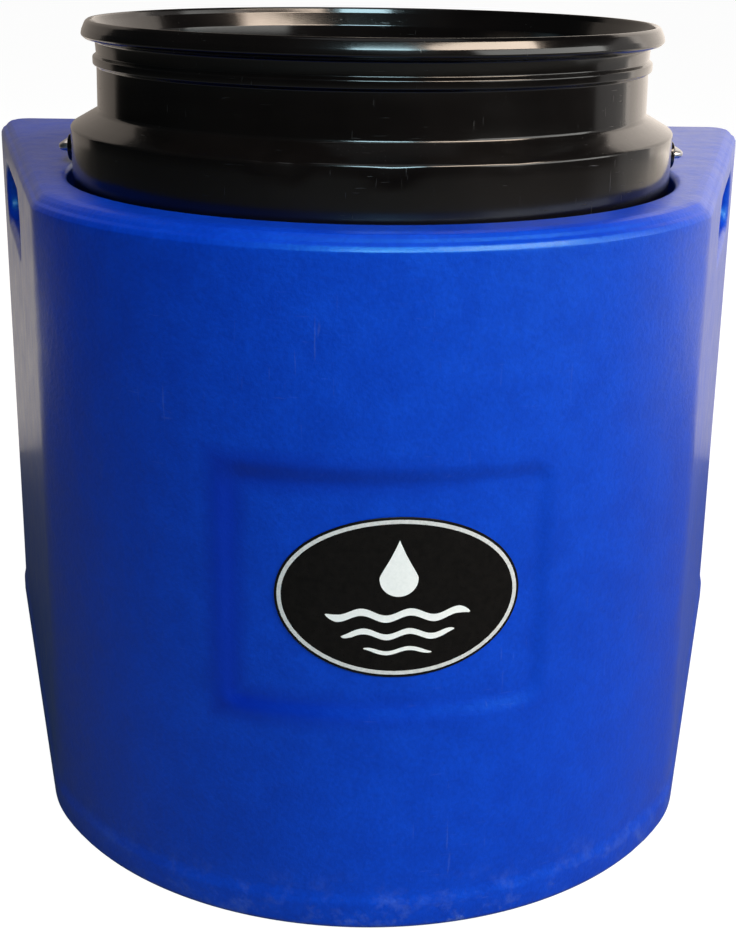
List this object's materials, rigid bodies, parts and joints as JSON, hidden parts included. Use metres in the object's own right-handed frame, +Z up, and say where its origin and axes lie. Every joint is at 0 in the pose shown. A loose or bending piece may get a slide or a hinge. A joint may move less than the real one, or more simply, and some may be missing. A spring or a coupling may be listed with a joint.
{
  "type": "insulated bucket holder with pail",
  "caption": "Foam-filled, flat-backed bucket insulator with moulded hand-holds, a round pocket, and a lift-out pail with a wire bail and turning grip.",
  "frame": {"origin": "on the underside of the housing, on the axis of the pail and its pocket", "axes": "+Z up, -Y towards the round front with the label, +Y towards the flat back, +X to the viewer's right"},
  "size_m": [0.5084, 0.4169, 0.426],
  "materials": {
    "housing": "satin",
    "foam": "matte",
    "plug": "matte",
    "label": "satin",
    "pail": "gloss",
    "wire": "satin",
    "grip": "satin"
  },
  "bodies": {
    "housing": {"housing_shell": "housing", "foam_core": "foam", "fill_plug": "plug", "vent_plug": "plug", "oval_label": "label"},
    "pail_body": {"pail": "pail"},
    "bail": {"bail_wire": "wire"},
    "grip": {"bail_grip": "grip"}
  },
  "joints": [
    {"name": "pail_lift", "type": "slide", "parent": "housing", "child": "pail_body", "axis": [0, 0, 1], "range_m": [0, 0.31]},
    {"name": "bail_swing", "type": "hinge", "parent": "pail_body", "child": "bail", "pos_m": [0, 0, 0.358], "axis": [1, 0, 0], "range_deg": [0, 178.8]},
    {"name": "grip_spin", "type": "hinge", "parent": "bail", "child": "grip", "pos_m": [0, 0.18699, 0.35996], "axis": [1, 0, 0], "continuous": true}
  ]
}
